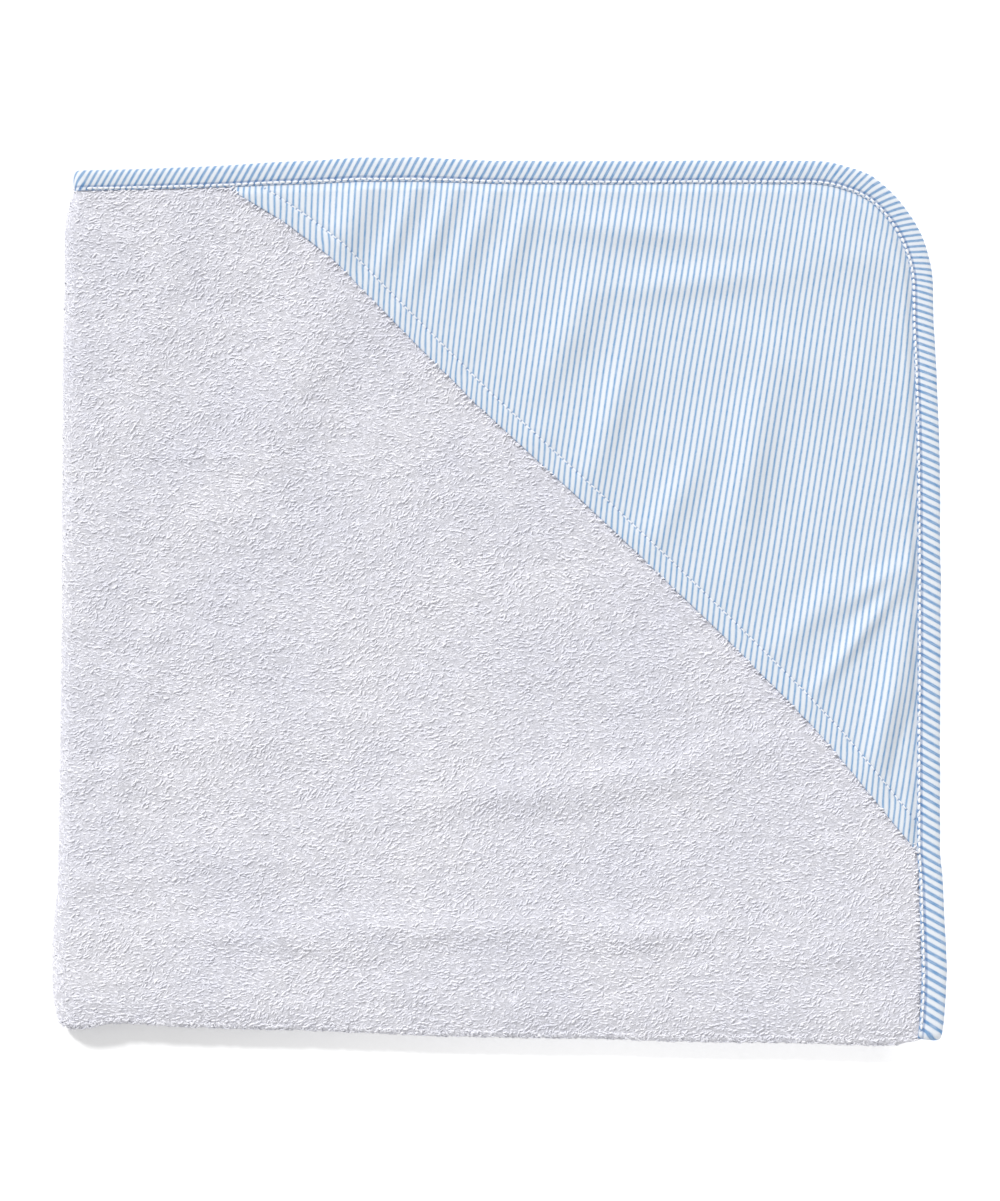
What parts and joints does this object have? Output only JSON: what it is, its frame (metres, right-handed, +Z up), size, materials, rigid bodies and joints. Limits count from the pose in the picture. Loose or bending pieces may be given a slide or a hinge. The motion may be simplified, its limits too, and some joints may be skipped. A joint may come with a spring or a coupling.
{
  "type": "hooded baby towel",
  "caption": "Square terry bath towel folded in quarters, with a striped cotton hood sewn across one rounded corner and a matching bias binding round its edges.",
  "frame": {"origin": "middle of the folded towel's square, on the surface that it lies on", "axes": "+X to the right, +Y away from the bottom fold, +Z up, with the hood at +X +Y on top"},
  "size_m": [0.38, 0.38, 0.0144],
  "materials": {
    "terry": "white cotton loops, matte",
    "striped_cotton": "fine blue and white woven stripe, matte",
    "thread": "white sewing thread, slight sheen"
  },
  "bodies": {
    "hood_quarter": {"terry_hood_quarter": "terry", "binding_hood_quarter": "striped_cotton", "binding_stitching_hood_quarter": "thread", "hood_seam_allowance": "striped_cotton", "bottom_fold_upper": "terry", "binding_bottom_fold_upper": "striped_cotton", "left_fold_outer_top": "terry", "binding_left_fold_outer_top": "striped_cotton"},
    "hood": {"hood_panel": "striped_cotton", "hood_hem": "striped_cotton", "hood_hem_stitching": "thread"},
    "lower_right_quarter": {"terry_lower_right": "terry", "binding_lower_right": "striped_cotton", "binding_stitching_lower_right": "thread", "left_fold_inner": "terry", "binding_left_fold_inner": "striped_cotton"},
    "lower_left_quarter": {"terry_lower_left": "terry", "binding_lower_left": "striped_cotton", "binding_stitching_lower_left": "thread", "bottom_fold_lower": "terry", "binding_bottom_fold_lower": "striped_cotton"},
    "upper_left_quarter": {"terry_upper_left": "terry", "binding_upper_left": "striped_cotton", "binding_stitching_upper_left": "thread", "left_fold_outer_bottom": "terry", "binding_left_fold_outer_bottom": "striped_cotton"}
  },
  "joints": [
    {"name": "hood_open", "type": "hinge", "parent": "hood_quarter", "child": "hood", "pos_m": [0.16631, 0.16631, 0.0137], "axis": [-0.7071, 0.7071, 0], "range_deg": [0, 25]},
    {"name": "unfold", "type": "hinge", "parent": "hood_quarter", "child": "lower_right_quarter", "pos_m": [0, -0.18914, 0.00975], "axis": [-1, 0, 0], "range_deg": [0, 180], "deforming": ["bottom_fold_upper", "binding_bottom_fold_upper", "left_fold_outer_top", "binding_left_fold_outer_top"]},
    {"name": "left_fold_open", "type": "hinge", "parent": "lower_right_quarter", "child": "lower_left_quarter", "pos_m": [-0.18584, 0, 0.00645], "axis": [0, 1, 0], "range_deg": [0, 180], "deforming": ["left_fold_inner", "binding_left_fold_inner"]},
    {"name": "lower_bottom_fold_open", "type": "hinge", "parent": "lower_left_quarter", "child": "upper_left_quarter", "pos_m": [0, -0.18914, 0.00315], "axis": [-1, 0, 0], "range_deg": [0, 180], "deforming": ["bottom_fold_lower", "binding_bottom_fold_lower", "left_fold_outer_bottom", "binding_left_fold_outer_bottom"]}
  ],
  "couplings": [
    {"joint": "left_fold_open", "follows": "unfold", "ratio": 1},
    {"joint": "lower_bottom_fold_open", "follows": "unfold", "ratio": 1}
  ]
}
